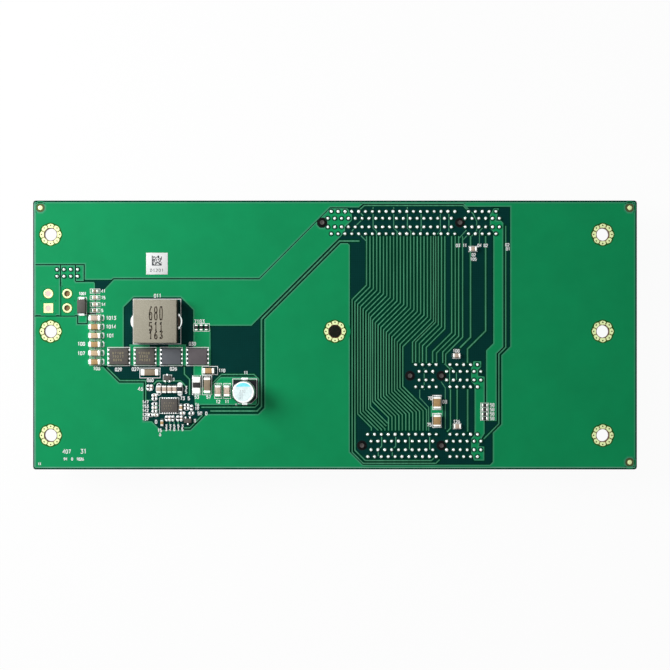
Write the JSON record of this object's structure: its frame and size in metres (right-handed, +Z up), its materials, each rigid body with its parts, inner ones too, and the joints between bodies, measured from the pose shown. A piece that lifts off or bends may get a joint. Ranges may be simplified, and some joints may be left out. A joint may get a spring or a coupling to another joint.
{
  "type": "riser card backplane",
  "caption": "Green circuit board that carries three card sockets on its far side, with their soldered pins, fanned traces and a small power converter on the near side.",
  "frame": {"origin": "middle of the board's footprint on the surface that the socket mouths rest on", "axes": "+Z up through the board to its soldered side, +X along the board's length from the power input towards the bare end, +Y towards the long socket"},
  "size_m": [0.176, 0.0784, 0.0206],
  "materials": {
    "laminate": "satin",
    "covered_copper": "satin",
    "covered_trace": "satin",
    "gold_plate": "satin",
    "socket_plastic": "matte",
    "solder": "satin",
    "tinned_lug": "satin",
    "pressed_core": "matte",
    "can_metal": "satin",
    "can_mark_ink": "satin",
    "black_resin": "matte",
    "tan_ceramic": "matte",
    "black_ceramic": "matte",
    "label_film": "matte"
  },
  "bodies": {
    "root": {"can_capacitor_base": "black_resin", "can_capacitor_can": "can_metal", "can_capacitor_mark": "can_mark_ink", "can_capacitor_terminals": "tinned_lug", "ceramic_capacitor_ends": "solder", "ceramic_capacitors": "tan_ceramic", "chip_resistor_ends": "solder", "chip_resistors": "black_ceramic", "code_label": "label_film", "controller_chip": "black_resin", "controller_leads": "tinned_lug", "converter_traces": "covered_trace", "data_traces": "covered_trace", "fixing_pads": "gold_plate", "ground_plane": "covered_copper", "header_base": "socket_plastic", "header_pins": "gold_plate", "header_solder_joints": "solder", "inductor_core": "pressed_core", "inductor_terminals": "tinned_lug", "input_capacitor_1": "tan_ceramic", "input_capacitor_2": "tan_ceramic", "input_capacitor_3": "tan_ceramic", "input_capacitor_4": "tan_ceramic", "input_capacitor_5": "tan_ceramic", "input_capacitor_6": "tan_ceramic", "input_capacitor_ends": "solder", "input_positive_pour": "covered_copper", "input_return_pour": "covered_copper", "input_supply_pour": "covered_copper", "laminate": "laminate", "output_pour": "covered_copper", "power_input_pads": "gold_plate", "power_transistor_1": "black_resin", "power_transistor_2": "black_resin", "power_transistor_3": "black_resin", "power_transistor_4": "black_resin", "power_transistor_leads": "tinned_lug", "sense_resistor_ends": "solder", "sense_resistors": "black_ceramic", "sighting_dots": "gold_plate", "slot_supply_pour": "covered_copper", "small_pours": "covered_copper", "small_transistor_bodies": "black_resin", "small_transistor_legs": "tinned_lug", "surge_diode_body": "black_resin", "surge_diode_terminals": "tinned_lug", "tiny_chips": "solder", "x1_socket_contacts": "gold_plate", "x1_socket_housing": "socket_plastic", "x1_solder_joints": "solder", "x4_socket_contacts": "gold_plate", "x4_socket_housing": "socket_plastic", "x4_solder_joints": "solder", "x8_socket_contacts": "gold_plate", "x8_socket_housing": "socket_plastic", "x8_solder_joints": "solder"}
  },
  "joints": []
}
